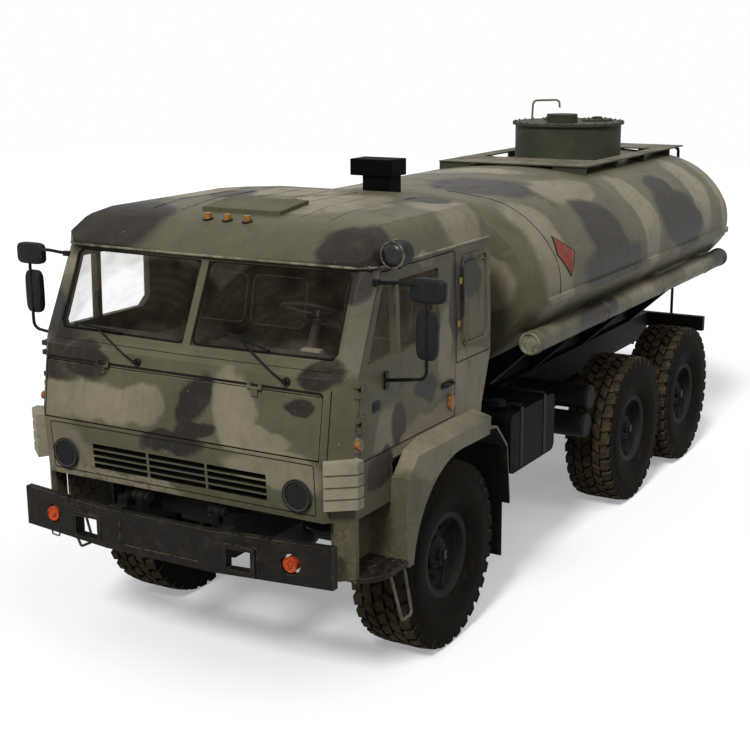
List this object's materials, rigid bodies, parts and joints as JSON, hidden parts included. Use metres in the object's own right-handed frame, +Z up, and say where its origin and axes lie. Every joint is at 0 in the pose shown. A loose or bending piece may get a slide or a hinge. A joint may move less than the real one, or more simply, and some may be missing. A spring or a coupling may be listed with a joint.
{
  "type": "military six-wheel fuel tanker truck",
  "caption": "Cab-over military tanker truck with a tilting cab, ladder frame, rear tandem axles and an oval tank with a walkway and a manhole tower.",
  "frame": {"origin": "On the ground, midway along the overall length and across the overall width.", "axes": "+Z up, +X towards the truck's left, +Y towards the rear; the cab faces -Y."},
  "size_m": [3.16, 7.24, 3.245],
  "materials": {
    "camouflage": "matt military paint in tan, olive and dark grey-brown patches, worn",
    "tower_green": "matt dark olive paint",
    "chassis_black": "worn black paint with dust",
    "walkway_grey": "pale painted plate, worn",
    "cast_metal": "cast and forged steel, oily and dusty",
    "wheel_grey": "dark grey painted steel with mud",
    "tyre": "black tyre with brown mud",
    "flap_rubber": "black rubber sheet",
    "lamp_lens": "amber and red lamp lenses",
    "lamp_cover": "grey lamp covers",
    "glass": "clear glass",
    "mirror_black": "black mirror housings and arms",
    "seat_fabric": "dark seat covers with pale piping",
    "dash_plastic": "dark plastic"
  },
  "bodies": {
    "chassis": {"chassis_frame": "chassis_black", "front_bumper": "chassis_black", "bumper_lamps": "lamp_lens", "rear_lamps": "lamp_lens", "engine_and_driveline": "cast_metal", "radiator": "chassis_black", "front_axle": "cast_metal", "rear_axles": "cast_metal", "leaf_springs": "cast_metal", "tank_shell": "camouflage", "tank_cradles": "chassis_black", "hose_tubes": "camouflage", "walkway": "walkway_grey", "manhole_tower": "tower_green", "tower_fittings": "tower_green", "fuel_tank": "camouflage", "battery_box": "camouflage", "air_receivers": "chassis_black", "wheel_guards": "chassis_black", "mudflaps": "flap_rubber", "snorkel": "tower_green", "rear_ladder": "chassis_black"},
    "cab": {"cab_shell": "camouflage", "grille_panel": "camouflage", "headlamps": "lamp_cover", "corner_vents": "camouflage", "windscreen": "glass", "wings": "camouflage", "cab_steps": "chassis_black", "searchlight": "tower_green", "cab_lamps": "lamp_lens", "seats": "seat_fabric", "dashboard": "dash_plastic", "steering_wheel": "dash_plastic"},
    "left_door": {"door_left": "camouflage", "door_glass_left": "glass", "mirror_left": "mirror_black"},
    "right_door": {"door_right": "camouflage", "door_glass_right": "glass", "mirror_right": "mirror_black"},
    "hatch_front": {"front_hatch": "camouflage"},
    "hatch_roof": {"roof_hatch": "camouflage"},
    "lid": {"filler_lid": "tower_green"},
    "left_knuckle": {"knuckle_left": "cast_metal"},
    "right_knuckle": {"knuckle_right": "cast_metal"},
    "wheel_front_left": {"tyre_front_left": "tyre", "rim_front_left": "wheel_grey"},
    "wheel_front_right": {"tyre_front_right": "tyre", "rim_front_right": "wheel_grey"},
    "wheel_middle_left": {"tyre_middle_left": "tyre", "rim_middle_left": "wheel_grey"},
    "wheel_middle_right": {"tyre_middle_right": "tyre", "rim_middle_right": "wheel_grey"},
    "wheel_rear_left": {"tyre_rear_left": "tyre", "rim_rear_left": "wheel_grey"},
    "wheel_rear_right": {"tyre_rear_right": "tyre", "rim_rear_right": "wheel_grey"}
  },
  "joints": [
    {"name": "cab_tilt", "type": "hinge", "parent": "chassis", "child": "cab", "pos_m": [0, -3.41, 1.13], "axis": [1, 0, 0], "range_deg": [0, 50]},
    {"name": "door_left_hinge", "type": "hinge", "parent": "cab", "child": "left_door", "pos_m": [1.163, -3.222, 1.83], "axis": [0, 0, -1], "range_deg": [0, 70]},
    {"name": "door_right_hinge", "type": "hinge", "parent": "cab", "child": "right_door", "pos_m": [-1.163, -3.222, 1.83], "axis": [0, 0, 1], "range_deg": [0, 70]},
    {"name": "front_hatch_hinge", "type": "hinge", "parent": "cab", "child": "hatch_front", "pos_m": [0, -3.402, 1.91], "axis": [-1, 0, 0], "range_deg": [0, 75]},
    {"name": "roof_hatch_hinge", "type": "hinge", "parent": "cab", "child": "hatch_roof", "pos_m": [0, -2.372, 2.84], "axis": [-1, 0, 0], "range_deg": [0, 60]},
    {"name": "filler_lid_hinge", "type": "hinge", "parent": "chassis", "child": "lid", "pos_m": [0.02, 2.341, 3.073], "axis": [-1, 0, 0], "range_deg": [0, 90]},
    {"name": "steer_left", "type": "hinge", "parent": "chassis", "child": "left_knuckle", "pos_m": [0.83, -2.18, 0.61], "axis": [0, 0, 1], "range_deg": [-28, 28]},
    {"name": "steer_right", "type": "hinge", "parent": "chassis", "child": "right_knuckle", "pos_m": [-0.83, -2.18, 0.61], "axis": [0, 0, 1], "range_deg": [-28, 28]},
    {"name": "spin_front_left", "type": "hinge", "parent": "left_knuckle", "child": "wheel_front_left", "pos_m": [0.99, -2.18, 0.61], "axis": [1, 0, 0], "continuous": true},
    {"name": "spin_front_right", "type": "hinge", "parent": "right_knuckle", "child": "wheel_front_right", "pos_m": [-0.99, -2.18, 0.61], "axis": [1, 0, 0], "continuous": true},
    {"name": "spin_middle_left", "type": "hinge", "parent": "chassis", "child": "wheel_middle_left", "pos_m": [0.99, 1.16, 0.61], "axis": [1, 0, 0], "continuous": true},
    {"name": "spin_middle_right", "type": "hinge", "parent": "chassis", "child": "wheel_middle_right", "pos_m": [-0.99, 1.16, 0.61], "axis": [1, 0, 0], "continuous": true},
    {"name": "spin_rear_left", "type": "hinge", "parent": "chassis", "child": "wheel_rear_left", "pos_m": [0.99, 2.48, 0.61], "axis": [1, 0, 0], "continuous": true},
    {"name": "spin_rear_right", "type": "hinge", "parent": "chassis", "child": "wheel_rear_right", "pos_m": [-0.99, 2.48, 0.61], "axis": [1, 0, 0], "continuous": true}
  ],
  "couplings": [
    {"joint": "steer_right", "follows": "steer_left", "ratio": 1}
  ]
}
